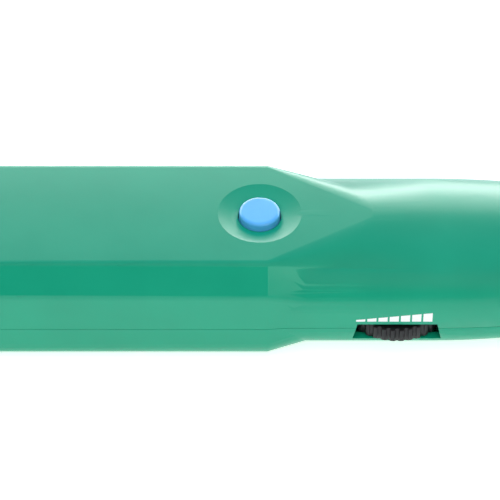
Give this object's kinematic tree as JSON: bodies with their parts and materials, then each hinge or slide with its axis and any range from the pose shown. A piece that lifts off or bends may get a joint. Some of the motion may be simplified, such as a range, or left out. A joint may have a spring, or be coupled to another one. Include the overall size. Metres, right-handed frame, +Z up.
{
  "type": "circuit breaker finder",
  "caption": "Handheld cable-tracing receiver wand with push button, side thumbwheel for sensitivity, battery bay and probe tip.",
  "frame": {"origin": "middle of the wand in plan, on the flat back of the handle that it rests on", "axes": "+X along the wand towards the probe tip, +Z up through the push button, -Y towards the thumbwheel"},
  "size_m": [0.218, 0.0464, 0.0319],
  "materials": {
    "green_abs": "moulded, satin to semi-gloss",
    "blue_abs": "moulded, satin",
    "spring_steel": "drawn wire",
    "black_nylon": "moulded, matt",
    "switch_actuator": "moulded, matt",
    "wheel_plastic": "moulded, ribbed, satin",
    "steel": "zinc plated",
    "board_laminate": "glass-epoxy with solder mask",
    "led_epoxy": "tinted epoxy",
    "clear_acrylic": "polished acrylic",
    "tip_plastic": "moulded, fine texture",
    "chip_epoxy": "moulded epoxy",
    "capacitor_sleeve": "shrink sleeve",
    "magnet": "sintered",
    "speaker_paper": "pressed paper",
    "battery_wrap": "printed wrap without any mark",
    "nickel": "nickel plated",
    "foam": "open-cell foam",
    "red_insulation": "PVC insulation",
    "black_insulation": "PVC insulation",
    "copper_wire": "enamelled copper",
    "ferrite": "sintered ferrite"
  },
  "bodies": {
    "case": {"upper_case": "green_abs", "lower_case": "green_abs", "button_spring": "spring_steel", "switch_body": "black_nylon", "potentiometer_body": "black_nylon", "circuit_board": "board_laminate", "status_led": "led_epoxy", "light_pipe": "clear_acrylic", "earphone_jack": "black_nylon", "probe_tip": "tip_plastic", "case_screws": "steel", "board_screws": "steel", "amplifier_chips": "chip_epoxy", "filter_capacitors": "capacitor_sleeve", "chip_resistors": "chip_epoxy", "speaker_frame": "steel", "speaker_magnet": "magnet", "speaker_cone": "speaker_paper", "battery_case": "battery_wrap", "battery_terminals": "nickel", "battery_snap": "black_nylon", "foam_pad": "foam", "battery_lead_red": "red_insulation", "battery_lead_black": "black_insulation", "coil_leads": "copper_wire", "ferrite_core": "ferrite", "coil_bobbin": "black_nylon", "pickup_coil": "copper_wire"},
    "door": {"battery_door": "green_abs"},
    "button": {"power_button": "blue_abs", "switch_plunger": "switch_actuator"},
    "wheel": {"volume_wheel": "wheel_plastic", "potentiometer_shaft": "steel", "wheel_screw": "steel"}
  },
  "joints": [
    {"name": "button_press", "type": "slide", "parent": "case", "child": "button", "axis": [0, 0, -1], "range_m": [0, 0.001], "stiffness_N_per_m": 800, "springref_m": -0.0006, "deforming": ["button_spring"]},
    {"name": "wheel_turn", "type": "hinge", "parent": "case", "child": "wheel", "pos_m": [0.0213, -0.0097, 0.0107], "axis": [0, 0, 1], "range_deg": [-150, 150]},
    {"name": "door_slide", "type": "slide", "parent": "case", "child": "door", "axis": [-1, 0, 0], "range_m": [0, 0.059]}
  ]
}
